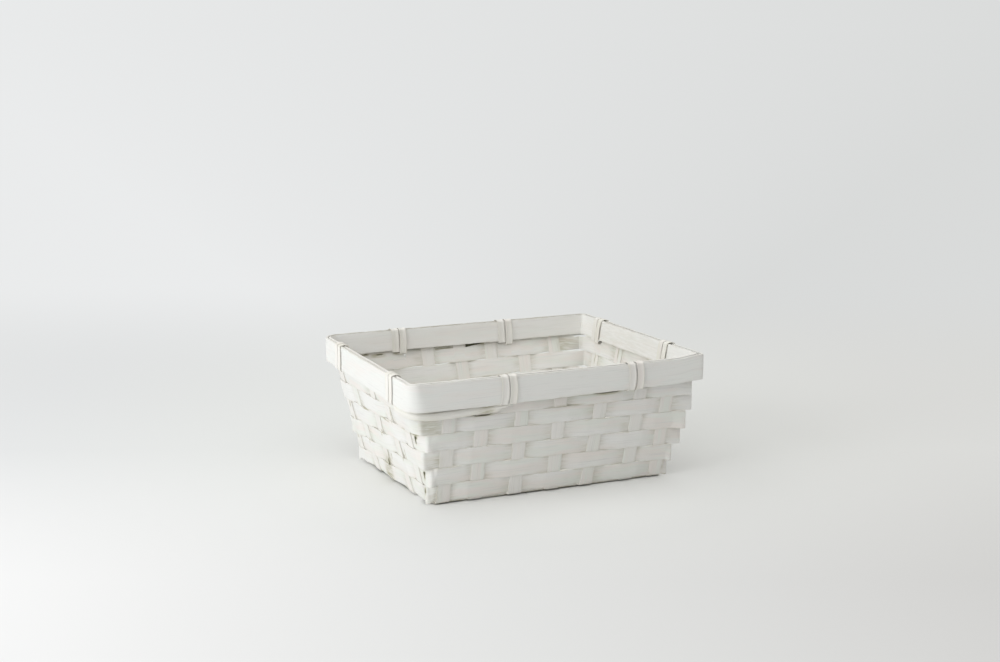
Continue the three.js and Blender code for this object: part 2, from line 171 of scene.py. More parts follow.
def corner_point(corner, height):
    """Tip of a woven corner at a height."""
    sx, sy = CORNER_SIGNS[corner]
    ix, iy = CORNER_INSETS[corner]
    head = point(sx * (RIM_LENGTH / 2 - ix), sy * (RIM_DEPTH / 2 - iy), BAND_FOOT)
    t = height / BAND_FOOT
    bulge = CORNER_BULGES[corner] * (t / BULGE_PEAK) ** BULGE_POWER * (1 - t) / (1 - BULGE_PEAK)
    return mix(point(*BASE_CORNERS[corner]), head, t) + point(sx * bulge, sy * bulge * BULGE_DEPTH_SHARE)


STAKE_ENDS = [
    (wall, number, foot, head)
    for wall, (feet, heads) in enumerate(STAKE_PLACES)
    for number, (foot, head) in enumerate(zip(feet, heads))
]


def ring_line(wall, place, share):
    """Height of a line of the weave at a share of the wall, at a place along the wall."""
    ends = []
    for corner in (wall, (wall + 1) % 4):
        bow = RING_BOWS[corner] * math.sin(math.pi * share)
        ends.append(mix(FOOT_HEIGHTS[corner], WEAVE_HEAD, share) + bow)
    lift = FOOT_LIFT * (1 - place ** FOOT_LIFT_POWER) * (1 - share)
    return mix(*ends, (place + 1) / 2) + lift


def rim_foot(wall, place):
    """Height of the outer band's foot at a place along a wall, told from the wall's middle."""
    t = (place / WALL_HALF[(wall + 1) % 4] + 1) / 2
    return BAND_FOOT - mix(BAND_SAGS[wall], BAND_SAGS[(wall + 1) % 4], t)


def dent(place, start, end, depth_start, depth_end, softness):
    """Depth of a dent at places along a line: even between its two ends, soft outside them."""
    place = np.asarray(place, float)
    level = np.interp(place, (start, end), (depth_start, depth_end))
    rise = np.clip((place - start) / softness + 1, 0, 1) * np.clip((end - place) / softness + 1, 0, 1)
    return level * rise * rise * (3 - 2 * rise)


def lashing_place(wall, stake, shift):
    return head_point(wall, STAKE_PLACES[wall][1][stake]) @ ALONG[wall] + shift


def dip_height(wall, stake, shift):
    """How high the wall reaches under a lashing."""
    foot = rim_foot(wall, lashing_place(wall, stake, shift))
    return foot - LASHING_CLEARANCE - LASHING_THICKNESS - CLEARANCE


# Curves, noise and meshes

def smooth_path(knots, step, closed=False):
    """Points at even steps on a curve through the knots that never swings past them. A knot may
    have any count of columns; the length is measured over its first six."""
    knots = np.asarray(knots, float)
    if closed:
        wrap = 4
        knots = np.vstack((knots[-wrap:], knots, knots[: wrap + 1]))
    gaps = np.linalg.norm(np.diff(knots[:, :6], axis=0), axis=1)
    run = np.concatenate(([0.0], np.cumsum(gaps)))
    slope = np.diff(knots, axis=0) / gaps[:, None]
    before, after = slope[:-1], slope[1:]
    w1 = (2 * gaps[1:] + gaps[:-1])[:, None]
    w2 = (gaps[1:] + 2 * gaps[:-1])[:, None]
    same = before * after > 0
    safe_before, safe_after = np.where(same, before, 1.0), np.where(same, after, 1.0)
    inner = np.where(same, (w1 + w2) / (w1 / safe_before + w2 / safe_after), 0.0)
    tangent = np.vstack((slope[:1], inner, slope[-1:]))
    start, end = (run[wrap], run[-wrap - 1]) if closed else (run[0], run[-1])
    count = max(int(round((end - start) / step)), 3)
    at = np.linspace(start, end, count + 1)
    if closed:
        at = at[:-1]
    k = np.clip(np.searchsorted(run, at, side="right") - 1, 0, len(gaps) - 1)
    h = gaps[k][:, None]
    t = ((at - run[k]) / gaps[k])[:, None]
    return (
        (2 * t**3 - 3 * t**2 + 1) * knots[k]
        + (t**3 - 2 * t**2 + t) * h * tangent[k]
        + (3 * t**2 - 2 * t**3) * knots[k + 1]
        + (t**3 - t**2) * h * tangent[k + 1]
    )


# The noise repeats after so many waves. Its table is read in strides, and each seed starts elsewhere.
NOISE_SIZE, NOISE_START = 512, 7
NOISE_STRIDES, NOISE_SHIFTS = (3, 5), (37, 101)
noise_table = np.random.default_rng(NOISE_START).random((NOISE_SIZE, NOISE_SIZE)) * 2 - 1


def noise(u, v, seed, period=None):
    """Smooth noise from -1 to 1 over two coordinates, one wave per unit, repeating in u if told."""
    u, v = np.broadcast_arrays(np.asarray(u, float), np.asarray(v, float))
    iu, iv = np.floor(u).astype(int), np.floor(v).astype(int)
    fu, fv = u - iu, v - iv
    fu, fv = fu * fu * (3 - 2 * fu), fv * fv * (3 - 2 * fv)

    def cell(i, j):
        i = i % period if period else i
        parts = zip((i, j), NOISE_STRIDES, NOISE_SHIFTS)
        row, column = [(at * stride + seed * shift) % NOISE_SIZE for at, stride, shift in parts]
        return noise_table[row, column]

    low = mix(cell(iu, iv), cell(iu + 1, iv), fu)
    high = mix(cell(iu, iv + 1), cell(iu + 1, iv + 1), fu)
    return mix(low, high, fv)


def wave(u, length, seed, total, closed, v=0.0):
    """Noise along a strip with waves about as long as told, closing on itself on a ring."""
    if closed:
        period = max(int(round(total / length)), 2)
        return noise(u / total * period, v, seed, period)
    return noise(u / length, v, seed)


# No splinter or rough edge reaches lower than this.
LOWEST = 0.05

# Marks of bare wood and of painted shade: centre, reach each way and strength, from 1 for bare wood where
# the paint hardly reached to 2 for the near-black of painted shade in a gap. Most marks here are painted
# shade.
BARE_AND_SHADE_MARKS = [
    # The weave at the front left corner, bare wood and partly painted shade where it dips in, and a worn
    # patch at the foot of the left wall.
    ((-116, -6.5, 11), (7, 9, 13), 1),
    ((-117, -104.5, 72), (9, 14, 7), 0.65),
    ((-111, -97, 39), (9, 12, 7), 0.35),
    ((-108, -89, 8), (7, 12, 6), 0.35),
    # Painted shade on the front: in the gap under the rim, a line under the top ring, the tail's shadow below
    # its end and a tick at the rim's left corner.
    ((10, -110.5, 87.5), (42, 2.4, 1), 1.6),
    ((46, -110.5, 87.2), (13, 2.4, 1.5), 2),
    ((7, -107, 78.6), (14, 4, 0.6), 1.3),
    ((-71.5, -107, 78.5), (9, 4, 0.7), 2),
    ((-137.6, -112.6, 88.6), (2, 2, 0.8), 1.4),
    # Painted shade in the gap under the inner band at the back.
    ((-44, 111.5, 88.5), (15, 2.5, 3.5), 0.6),
    ((-17, 111.5, 88.5), (10, 2.5, 3.5), 1.1),
    ((14, 111.5, 88.5), (15, 2.5, 3.5), 2),
    ((-85, 110, 88.2), (7, 4, 1.7), 1.5),
    ((-65.5, 110, 88.6), (3.5, 4, 1.3), 1.3),
    ((-97.5, 110, 89.8), (3, 4, 0.6), 1.8),
    ((-83.5, 110, 89.3), (4, 4, 0.6), 1.2),
    # The rim's top edge, darker at the back and on the left.
    ((0, 113, 110.6), (150, 3.5, 0.9), 0.5),
    ((-138.5, 15, 111.4), (3, 70, 1.4), 0.35),
    # Painted shade for holes and a crack where the rings turn the front left corner.
    ((-123.8, -90.2, 61.2), (1.6, 1.5, 1.5), 1.8),
    ((-123.6, -89.5, 58.2), (1.6, 0.8, 3.4), 1.7),
    ((-116.9, -88.9, 29.4), (1.6, 1.5, 1.5), 2),
    ((-116.6, -88.2, 26.4), (1.6, 0.8, 3.6), 2),
    ((-113.6, -85.2, 12.5), (1.6, 0.8, 3.2), 1.8),
    ((-124.4, -80, 63.4), (2, 21, 0.7), 1.6),
    # Painted shade as dark ticks in the gaps where strips meet on the left wall.
    ((-118.5, -18.6, 27), (2.2, 0.7, 2.8), 1.35),
    ((-120, -57, 39.5), (2.2, 0.6, 5.5), 1.4),
    ((-124.4, 70.1, 54.1), (3, 1.2, 3), 1.5),
    ((-125.6, 24.5, 59.6), (3, 8, 0.7), 1.3),
    ((-126.1, -25.7, 62.2), (3, 10, 0.8), 1.2),
    ((-121.7, 69.1, 42.2), (3, 1.2, 2.5), 1.3),
    ((-117.9, 65.3, 24.5), (3, 2, 1.6), 1.8),
    ((-118.8, 31.8, 28.6), (3, 1.5, 2.5), 1.2),
    ((-122.5, -8.4, 45.8), (3, 1.5, 3), 1.3),
    ((-120.1, -51.5, 34.6), (3, 1.2, 4), 1.2),
    ((-116.7, -9.1, 19.4), (3, 1.2, 4), 1.2),
    ((-127.4, -43.3, 68.1), (3, 0.8, 6), 1.2),
    # Painted shade inside the right wall: two dark lines, its rim darkened, partly as bare wood, and the
    # recessed corner behind it.
    ((130.2, 31.3, 85), (2.5, 0.7, 6), 1.5),
    ((127, 73.5, 73.3), (2.5, 0.7, 5), 1.45),
    ((118, 20, 100), (22, 82, 14), 0.22),
    ((116, 104, 84), (14, 5, 6), 0.45),
    # Painted shade under the feet of the front and left walls, on their bare underside.
    ((-91.5, -88, 0.2), (14, 5, 1.3), 2),
    ((2, -88, 0.2), (60, 5, 1.3), 2),
    ((100.5, -88, 0.2), (20.5, 5, 1.3), 2),
    ((-114, 26, 0.4), (3.5, 18, 1.6), 2),
    ((-112, -24, 0.4), (3.5, 16, 1.6), 2),
]

# The rim stands up at its corner on the right of the front: how far, how that fades along the front
# and towards the back, and from what height it sets in.
RISE, RISE_REACH, RISE_FLAT, RISE_FADE = 2.5, 15, 4, 1.4
RISE_FOOT, RISE_BLEND = 82, 10

# Edges sharper than this stay sharp in the shading.
CREASE = math.radians(42)


def corner_rise(points):
    """How far the rim's raised corner lifts each point."""
    x, y, z = points.T
    from_front = np.clip((y + WALL_HALF[0]) / (2 * WALL_HALF[0]), 0, 1)
    from_right = np.clip(WALL_HALF[1] - x - RISE_FLAT, 0, None)
    lift = RISE * (1 - from_front) ** RISE_FADE * np.exp(-((from_right / RISE_REACH) ** 2))
    return lift * np.clip((z - RISE_FOOT) / RISE_BLEND, 0, 1)


# How strong the marks of bare wood and painted shade are at each point.
def bare_and_shade_marks(points):
    found = np.zeros(len(points))
    for centre, reach, strength in BARE_AND_SHADE_MARKS:
        away = ((points - np.array(centre)) / np.array(reach)) ** 4
        found = found + strength * np.exp(-away.sum(axis=1))
    return found


class Shape:
    """Vertices and faces of one piece, with its grain coordinates, its wear, and its bare wood and painted
    shade at each vertex.
    """

    def __init__(self):
        self.points, self.faces, self.grain, self.worn, self.bare_or_shade = [], [], [], [], []
        self.count = 0

    def add(self, points, faces, grain, worn, bare_or_shade):
        points = np.asarray(points, float).reshape(-1, 3)
        points = points + UP * corner_rise(points)[:, None]
        self.points.append(np.maximum(points, (-math.inf, -math.inf, LOWEST)))
        self.grain.append(np.asarray(grain, float).reshape(-1, 3))
        self.worn.append(np.asarray(worn, float).reshape(-1))
        # Bare wood from the strip plus the marks of bare wood and painted shade, up to near-black shade at 2.
        self.bare_or_shade.append(np.clip(np.asarray(bare_or_shade, float).reshape(-1) + bare_and_shade_marks(points), 0, 2))
        self.faces.extend([tuple(int(i) + self.count for i in face) for face in faces])
        self.count += len(self.points[-1])

    def finish(self, name, material, nodes):
        """Makes the piece, in place of the nodes."""
        mesh = bpy.data.meshes.new(name)
        mesh.from_pydata((np.vstack(self.points) * MM).tolist(), [], self.faces)
        for kind, field, label, values in (
            ("FLOAT_VECTOR", "vector", "grain", np.vstack(self.grain).ravel()),
            ("FLOAT", "value", "worn", np.concatenate(self.worn)),
            ("FLOAT", "value", "bare_or_shade", np.concatenate(self.bare_or_shade)),
        ):
            mesh.attributes.new(label, kind, "POINT").data.foreach_set(field, values)
        mesh.shade_smooth()
        mesh.set_sharp_from_angle(angle=CREASE)
        mesh.materials.append(material)
        mesh.validate()
        piece = bpy.data.objects.new(name, mesh)
        bpy.context.collection.objects.link(piece)
        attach(piece, "root")
        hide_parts(*nodes)


def sweep_faces(stations, around, closed):
    """Faces of a tube of so many stations, with its ends capped unless it closes on itself."""
    i = np.arange(stations if closed else stations - 1)[:, None] * around
    j = np.arange(around)[None, :]
    ahead = (i + around) % (stations * around)
    faces = np.stack((i + j, ahead + j, ahead + (j + 1) % around, i + (j + 1) % around), axis=-1)
    faces = faces.reshape(-1, 4).tolist()
    if not closed:
        half = around // 2
        last = (stations - 1) * around
        for k in range(half - 1):
            faces.append((k, k + 1, around - 2 - k, around - 1 - k))
            faces.append((last + around - 1 - k, last + around - 2 - k, last + k + 1, last + k))
    return faces


# How many strips are made so far: each takes its count as the seed of its noise.
strip_seed = [0]

# A strip's points crowd towards its edges. Each edge wanders in long and short waves, so many
# millimetres long, and is nicked where a third wave tops a limit.
CROWDING = 0.92
EDGE_WAVES = [(22, 5), (19, 4)]
LONG_SHARE, SHORT_SHARE = 0.6, 0.4
NICKS, NICK_DEPTH = [(7, 0.72), (6, 0.75)], 6
ROUNDING_POWER, LEAN_WAVE, FOLD_LEVEL = 8, 45, 0.5

# Ridges of the grain: share, wave length along the strip, pitch across it and shift.
RIDGES = [(0.55, 55, 1.15, 40), (0.3, 16, 0.62, 90), (0.15, 5, 1.6, 0)]
OUTER_RIDGES, INNER_RIDGES = 10, 20

# The grain's coordinates on the inner face and from strip to strip, and where it is worn: on the
# edges and on ridges over a level.
INNER_GRAIN, GRAIN_STEP = 60, 13.7
WORN_EDGE_POWER, WORN_RIDGE_SHARE, WORN_RIDGE_LEVEL = 14, 0.5, 0.35

# Patches of thin paint on a face that another strip covers: share, seed, and length and width.
COVERED_SHARE, COVERED_SEED, COVERED_PATCH = 0.5, 40, (14, 5)

# Splinters: their own seeds, how far from the ends, from the middle and up the face they start, how
# many lift off the outer face, and their length, width, lift, drift, taper and wear.
SPLINTER_SEED, SPLINTER_MARGINS = 1000, (2, 3)
SPLINTER_PLACES, SPLINTER_LEVEL, SPLINTER_OUTER = (0.55, 1), 0.45, 0.75
SPLINTER_LENGTHS, SPLINTER_WIDTHS = (2, 6.5), (0.18, 0.42)
SPLINTER_LIFTS, SPLINTER_DRIFTS = (0.15, 0.9), (-0.5, 0.9)
SPLINTER_STEPS, SPLINTER_TAPER, SPLINTER_TIP = 4, 0.7, 0.02
SPLINTER_GRAIN, SPLINTER_WORN = 0.2, 0.35


def strip(shape, edges, thickness, segments, splinters, closed=False, edge_wobble=0.3,
          grain_depth=0.05, edge_share=0.45, wobble=0.08, crown=0.0, fold=0.0, bare_or_shade=None):
    """Sweeps a flat strip along its two long edges, (count, 6): the first edge and the second.
    The outer face is the one that ahead x across points to. A seventh column tells which face
    another strip covers: 1 for the inner one, -1 for the outer one."""
    strip_seed[0] += 1
    seed = strip_seed[0]
    a, b = edges[:, :3], edges[:, 3:6]
    middle, across = (a + b) / 2, b - a
    width = np.linalg.norm(across, axis=1)
    across = across / width[:, None]
    if closed:
        ahead = np.roll(middle, -1, axis=0) - np.roll(middle, 1, axis=0)
        step = np.linalg.norm(np.roll(middle, -1, axis=0) - middle, axis=1)
        run = np.concatenate(([0.0], np.cumsum(step)[:-1]))
        total = step.sum()
    else:
        ahead = np.gradient(middle, axis=0)
        step = np.linalg.norm(np.diff(middle, axis=0), axis=1)
        run = np.concatenate(([0.0], np.cumsum(step)))
        total = run[-1]
    out = np.cross(ahead, across)
    out = out / np.linalg.norm(out, axis=1)[:, None]
    ahead = ahead / np.linalg.norm(ahead, axis=1)[:, None]
    u = run[:, None]
    v = np.sin(np.linspace(-1, 1, segments + 1) * math.pi / 2 * CROWDING) / math.sin(math.pi / 2 * CROWDING)

    def waves(length, offset, at=run, v=0.0):
        return wave(at, length, seed + offset, total, closed, v)

    def edge_line(side):
        """How far one edge wanders, which nicks bring in towards the middle."""
        (long_wave, short_wave), (nick_wave, limit) = EDGE_WAVES[side], NICKS[side]
        line = LONG_SHARE * waves(long_wave, 2 * side) + SHORT_SHARE * waves(short_wave, 2 * side + 1)
        nick = np.clip(waves(nick_wave, 4 + side) - limit, 0, 1) * edge_wobble * NICK_DEPTH
        return edge_wobble * line + nick * (1 - 2 * side)

    def ridges(offset):
        return sum(share * waves(length, offset + i, u, place / pitch + shift)
                   for i, (share, length, pitch, shift) in enumerate(RIDGES))

    def faces_of(outer, inner):
        return np.concatenate((outer, inner[:, ::-1]), axis=1)

    place = (width / 2)[:, None] * v + mix(edge_line(0)[:, None], edge_line(1)[:, None], (v[None, :] + 1) / 2)
    thick = thickness / 2 * (edge_share + (1 - edge_share) * (1 - np.abs(v) ** ROUNDING_POWER)[None, :])
    level = crown * (1 - v[None, :] ** 2) + fold * (FOLD_LEVEL - np.abs(v[None, :]))
    level = wobble * waves(LEAN_WAVE, 6)[:, None] + level
    reliefs = ridges(OUTER_RIDGES), ridges(INNER_RIDGES)
    points = [
        middle[:, None] + across[:, None] * place[..., None] + out[:, None] * offset[..., None]
        for offset in (side * thick + grain_depth * relief + level for side, relief in zip((1, -1), reliefs))
    ]
    grain_across = faces_of(place, place + INNER_GRAIN)
    grain = np.stack((np.broadcast_to(u, grain_across.shape), grain_across,
                      np.full(grain_across.shape, seed * GRAIN_STEP)), axis=-1)
    edge = np.abs(v)[None, :] ** WORN_EDGE_POWER
    worn = [edge + WORN_RIDGE_SHARE * np.clip(relief - WORN_RIDGE_LEVEL, 0, 1) for relief in reliefs]

    covered = edges[:, 6] if edges.shape[1] > 6 else np.zeros(len(middle))
    covered = np.repeat(np.stack((-covered, covered), axis=1), segments + 1, axis=1)
    length, pitch = COVERED_PATCH
    patchy = 0.5 + 0.5 * waves(length, COVERED_SEED, u, place / pitch)
    hidden = np.clip(covered, 0, 1) ** 2 * COVERED_SHARE * faces_of(patchy, patchy)
    if bare_or_shade is not None:
        hidden = np.maximum(hidden, bare_or_shade[:, None])
    loop = faces_of(*points)
    shape.add(loop, sweep_faces(len(middle), loop.shape[1], closed), grain, faces_of(*worn), hidden)

    rng = np.random.default_rng(SPLINTER_SEED + seed)
    for _ in range(splinters):
        k = int(rng.integers(SPLINTER_MARGINS[0], len(middle) - SPLINTER_MARGINS[1]))
        aside = across[k] * (1 if rng.random() < 0.5 else -1)
        off = out[k] * (1 if rng.random() < SPLINTER_OUTER else -1)
        foot = middle[k] + aside * (width[k] / 2) * rng.uniform(*SPLINTER_PLACES)
        foot = foot + off * thickness * SPLINTER_LEVEL
        way = ahead[k] * (1 if rng.random() < 0.5 else -1)
        splinter(shape, rng, foot, way, aside, off, seed)


def splinter(shape, rng, foot, ahead, aside, out, seed):
    """A thin tapering sliver along the grain that starts inside the strip and curls off it."""
    length, width = rng.uniform(*SPLINTER_LENGTHS), rng.uniform(*SPLINTER_WIDTHS)
    lift, drift = rng.uniform(*SPLINTER_LIFTS), rng.uniform(*SPLINTER_DRIFTS)
    points = []
    for t in np.linspace(0, 1, SPLINTER_STEPS + 1):
        at = foot + ahead * length * t + out * lift * t * t + aside * drift * t * t
        half = width / 2 * (1 - t) ** SPLINTER_TAPER + SPLINTER_TIP
        for x, y in ((-1, -0.5), (1, -0.5), (1, 0.5), (-1, 0.5)):
            points.append(at + aside * half * x + out * half * y)
    count = len(points)
    grain = [(i, SPLINTER_GRAIN, seed) for i in range(count)]
    faces = sweep_faces(SPLINTER_STEPS + 1, 4, False)
    shape.add(points, faces, grain, np.full(count, SPLINTER_WORN), np.zeros(count))


# Materials

class Nodes:
    """Short ways to make the nodes of one tree."""

    def __init__(self, owner):
        owner.use_nodes = True
        self.tree = owner.node_tree
        self.tree.nodes.clear()

    def node(self, kind, **settings):
        made = self.tree.nodes.new(kind)
        for key, value in settings.items():
            setattr(made, key, value)
        return made

    def put(self, value, socket):
        if isinstance(value, (int, float)):
            socket.default_value = value
        elif isinstance(value, tuple):
            socket.default_value = value if len(value) == len(socket.default_value) else (*value, 1.0)
        else:
            self.tree.links.new(value, socket)

    def made(self, kind, output, *values, **settings):
        """The output of a new node, with these values or links in its first inputs."""
        node = self.node(kind, **settings)
        for value, socket in zip(values, node.inputs):
            self.put(value, socket)
        return node.outputs[output]

    def filled(self, kind, output, values, **settings):
        """The same with the inputs told by name."""
        node = self.node(kind, **settings)
        for name, value in values.items():
            self.put(value, node.inputs[name])
        return node.outputs[output]

    def math(self, operation, a, b=0.0, clamp=False):
        return self.made("ShaderNodeMath", "Value", a, b, operation=operation, use_clamp=clamp)

    def dot(self, a, b):
        return self.made("ShaderNodeVectorMath", "Value", a, b, operation="DOT_PRODUCT")

    def unit(self, a):
        return self.made("ShaderNodeVectorMath", "Vector", a, operation="NORMALIZE")

    def length(self, a):
        return self.made("ShaderNodeVectorMath", "Value", a, operation="LENGTH")

    def ramp(self, value, low, high, to_low=0.0, to_high=1.0, smooth=True):
        kind = "SMOOTHSTEP" if smooth else "LINEAR"
        values = value, low, high, to_low, to_high
        return self.made("ShaderNodeMapRange", "Result", *values, interpolation_type=kind)

    def blend(self, factor, a, b):
        return self.filled("ShaderNodeMix", "Result", {"Factor": factor, "A": a, "B": b}, data_type="RGBA")


# Fields of noise in the paint: how long and wide its spots are, its detail and its shift, and the
# levels between which the field rises, and to what.
NOISE_ROUGHNESS, SHIFT_ACROSS = 0.6, 1.7
COOL_PATCHES = (46, 9, 2, 0), (0.38, 0.62)
THICK_PATCHES = (70, 16, 2, 31), (0.35, 0.65)
STREAKS = (34, 0.9, 4, 7), (0.5, 0.78)
FINE_GRAIN = (11, 0.32, 3, 17), (0.6, 0.8)
THIN_PATCHES = (28, 5, 2, 51), (0.45, 0.7)
RUBBED_PATCHES = (9, 2.5, 3, 71), (0.45, 0.66)
MISSED_PATCHES = (12, 1.6, 4, 91), (0.36, 0.6, 0.3, 1)
GLOSS_PATCHES = (20, 1.2, 3, 5), (0.3, 0.7)
FINE_RELIEF, COARSE_RELIEF = (24, 0.5, 4, 3), (4, 1.4, 4, 9)
FINE_SHARE, COARSE_SHARE, RELIEF_DEPTH = 0.7, 0.3, 0.00012
THIN_SHARE, GLOSS_SPREAD, SPECULAR = 0.55, 0.07, 0.32
# Over these levels of the marks the colour turns to the near-black of painted shade in gaps.
GAP_SHADE_LEVELS = 1.1, 1.8

# Bare wood in painted shade, and the near-black of painted shade in gaps.
BARE_SHADED, GAP_SHADE = (0.50, 0.475, 0.36), (0.10, 0.10, 0.06)
WHITE = (0.84, 0.835, 0.815)
BARE, WARM, COOL = (0.56, 0.49, 0.36), (0.83, 0.79, 0.75), (0.80, 0.815, 0.765)


def material(name, paint, warm, cool, streak_depth, bare_share, roughness, bump):
    """White paint brushed over chip wood: streaks along the grain, faint warm and cool patches,
    bare wood in worn grain, on worn edges and where the paint hardly reached, bare wood in painted
    shade, and near-black painted shade in gaps."""
    made = bpy.data.materials.new(name)
    kit = Nodes(made)
    told = [kit.node("ShaderNodeAttribute", attribute_name=label) for label in ("grain", "worn", "bare_or_shade")]
    grain, worn, bare_or_shade_level = told[0].outputs["Vector"], told[1].outputs["Fac"], told[2].outputs["Fac"]

    def spots(length, width, detail, shift):
        size, shifts = (1 / length, 1 / width, 1.0), (shift, shift * SHIFT_ACROSS, 0.0)
        at = kit.filled("ShaderNodeMapping", "Vector", {"Vector": grain, "Scale": size, "Location": shifts})
        values = {"Vector": at, "Scale": 1.0, "Detail": detail, "Roughness": NOISE_ROUGHNESS}
        return kit.filled("ShaderNodeTexNoise", "Fac", values)

    def field(spread, levels):
        return kit.ramp(spots(*spread), *levels)

    def times(a, b):
        return kit.math("MULTIPLY", a, b, clamp=True)

    whites = kit.blend(field(*THICK_PATCHES), kit.blend(field(*COOL_PATCHES), warm, cool), paint)
    colour = kit.blend(field(*STREAKS), whites, tuple(c * (1 - streak_depth) for c in paint))
    thin = times(field(*FINE_GRAIN), field(*THIN_PATCHES))
    colour = kit.blend(times(thin, THIN_SHARE), colour, BARE)
    colour = kit.blend(times(times(worn, field(*RUBBED_PATCHES)), bare_share), colour, BARE)
    # Bare wood in painted shade where the marks ask for it, then near-black painted shade in gaps.
    colour = kit.blend(times(bare_or_shade_level, field(*MISSED_PATCHES)), colour, BARE_SHADED)
    colour = kit.blend(kit.ramp(bare_or_shade_level, *GAP_SHADE_LEVELS), colour, GAP_SHADE)

    spread, levels = GLOSS_PATCHES
    gloss = field(spread, (*levels, roughness - GLOSS_SPREAD, roughness + GLOSS_SPREAD))
    fine, coarse = times(spots(*FINE_RELIEF), FINE_SHARE), times(spots(*COARSE_RELIEF), COARSE_SHARE)
    height = kit.math("ADD", fine, coarse, clamp=True)
    values = {"Strength": bump, "Distance": RELIEF_DEPTH, "Height": height}
    relief = kit.filled("ShaderNodeBump", "Normal", values)
    values = {"Base Color": colour, "Roughness": gloss, "Specular IOR Level": SPECULAR, "Normal": relief}
    surface = kit.filled("ShaderNodeBsdfPrincipled", "BSDF", values)
    kit.put(surface, kit.node("ShaderNodeOutputMaterial").inputs["Surface"])
    return made


# Each paint's colour, its warm and cool patches, how deep its streaks are, how bare its worn edges are,
# its roughness and its relief.
weaver_paint = material("weaver_paint", WHITE, WARM, COOL, 0.12, 0.55, 0.72, 0.5)
stake_paint = material("stake_paint", (0.83, 0.815, 0.785), WARM, COOL, 0.12, 0.5, 0.72, 0.5)
base_paint = material("base_paint", (0.80, 0.785, 0.74), WARM, COOL, 0.16, 0.7, 0.76, 0.6)
# The inner band's paint is lighter and the outer band's darker: painted light inside the rim, painted shade
# outside.
inner_rim_paint_lit = material(
    "inner_rim_paint_lit", (0.875, 0.87, 0.85), (0.86, 0.84, 0.81), (0.85, 0.855, 0.825), 0.08, 0.4, 0.66, 0.45)
outer_rim_paint_shaded = material(
    "outer_rim_paint_shaded", (0.825, 0.825, 0.80), (0.83, 0.81, 0.78), (0.82, 0.83, 0.80), 0.09, 0.32, 0.66, 0.45)
lashing_paint = material(
    "lashing_paint", (0.84, 0.825, 0.79), WARM, (0.82, 0.81, 0.74), 0.12, 0.6, 0.7, 0.5)


# Weaver rings

CORNER_STEPS, LAST_RING = 6, len(RING_SHARES) - 2
RING_STEP, LAST_RING_STEP = 1.2, 0.8


def dip_under_lashings(knots):
    """Cuts the top edge of the last ring down under each lashing."""
    half = (LASHING_WIDTH + LASHING_PITCH) / 2 - DIP_MARGIN
    for _, wall, stake, shift in LASHINGS:
        place, low = lashing_place(wall, stake, shift), dip_height(wall, stake, shift) + DIP_LESS

        def offset(knot):
            return knot[3:6] @ ALONG[wall] - place

        def on_wall(knot):
            return knot[3:6] @ OUTWARD[wall] > WALL_HALF[wall] / 2

        for stop in (-half - DIP_SLOPE, -half, half, half + DIP_SLOPE):
            for i, knot in enumerate(knots):
                after = knots[(i + 1) % len(knots)]
                if on_wall(knot) and offset(knot) < stop <= offset(after):
                    t = (stop - offset(knot)) / (offset(after) - offset(knot))
                    knots.insert(i + 1, mix(knot, after, t))
                    break
        for knot in knots:
            if on_wall(knot) and abs(offset(knot)) < half + DIP_SLOPE / 2 and knot[5] > low:
                knot[3:6] = mix(knot[:3], knot[3:6], (low - knot[2]) / (knot[5] - knot[2]))
    return knots


def ring_knots(ring):
    """Lower and upper edge of a ring where it passes each stake and turns each corner."""
    flat_half = STAKE_WIDTH / 2 + FLAT_MARGIN
    shares = RING_SHARES[ring], RING_SHARES[ring + 1]
    gaps = RING_GAP / 2, -RING_GAP / 2
    knots = []

    def side_of(i):
        return 1 if (i + ring) % 2 else -1

    def on_wall(wall, foot, head, shift, offset):
        pair = []
        for share, gap in zip(shares, gaps):
            height = ring_line(wall, foot, share) + gap + (TOP_LAP if share == 1 else 0)
            pair.append(wall_point(wall, foot, head, height) + ALONG[wall] * shift + OUTWARD[wall] * offset)
        knots.append(np.concatenate((*pair, [offset / WEAVE_OFFSET])))

    def round_corner(corner, from_wall, to_wall):
        last = [end for end in STAKE_ENDS if end[0] == from_wall][-1]
        first = [end for end in STAKE_ENDS if end[0] == to_wall][0]
        heights = [ring_line(to_wall, -1, share) + gap for share, gap in zip(shares, gaps)]
        middle = sum(heights) / 2
        tip = corner_point(corner, middle)
        for end in (last, first):
            tip = tip + OUTWARD[end[0]] * side_of(STAKE_ENDS.index(end)) * CORNER_JOG
        reaches = []
        for wall, _, foot, head in (last, first):
            to_stake = wall_point(wall, foot, head, middle) - tip
            room = (np.linalg.norm(to_stake) - flat_half) * WALL_CORNER_SHARE
            reaches.append(unit(to_stake) * min(WALL_CORNER_RADIUS, room))
        for i in range(CORNER_STEPS + 1):
            t = i / CORNER_STEPS
            at = tip + reaches[0] * (1 - t) ** 2 + reaches[1] * t**2
            knots.append(np.array([*at[:2], heights[0], *at[:2], heights[1], 0.0]))

    for i, (wall, _, foot, head) in enumerate(STAKE_ENDS):
        last = STAKE_ENDS[i - 1]
        if last[0] != wall:
            round_corner(wall, (wall + 3) % 4, wall)
        else:
            on_wall(wall, (foot + last[2]) / 2, (head + last[3]) / 2, 0, 0)
        on_wall(wall, foot, head, -flat_half, side_of(i) * WEAVE_OFFSET)
        on_wall(wall, foot, head, flat_half, side_of(i) * WEAVE_OFFSET)
    if ring == LAST_RING:
        knots = dip_under_lashings(knots)
    return knots


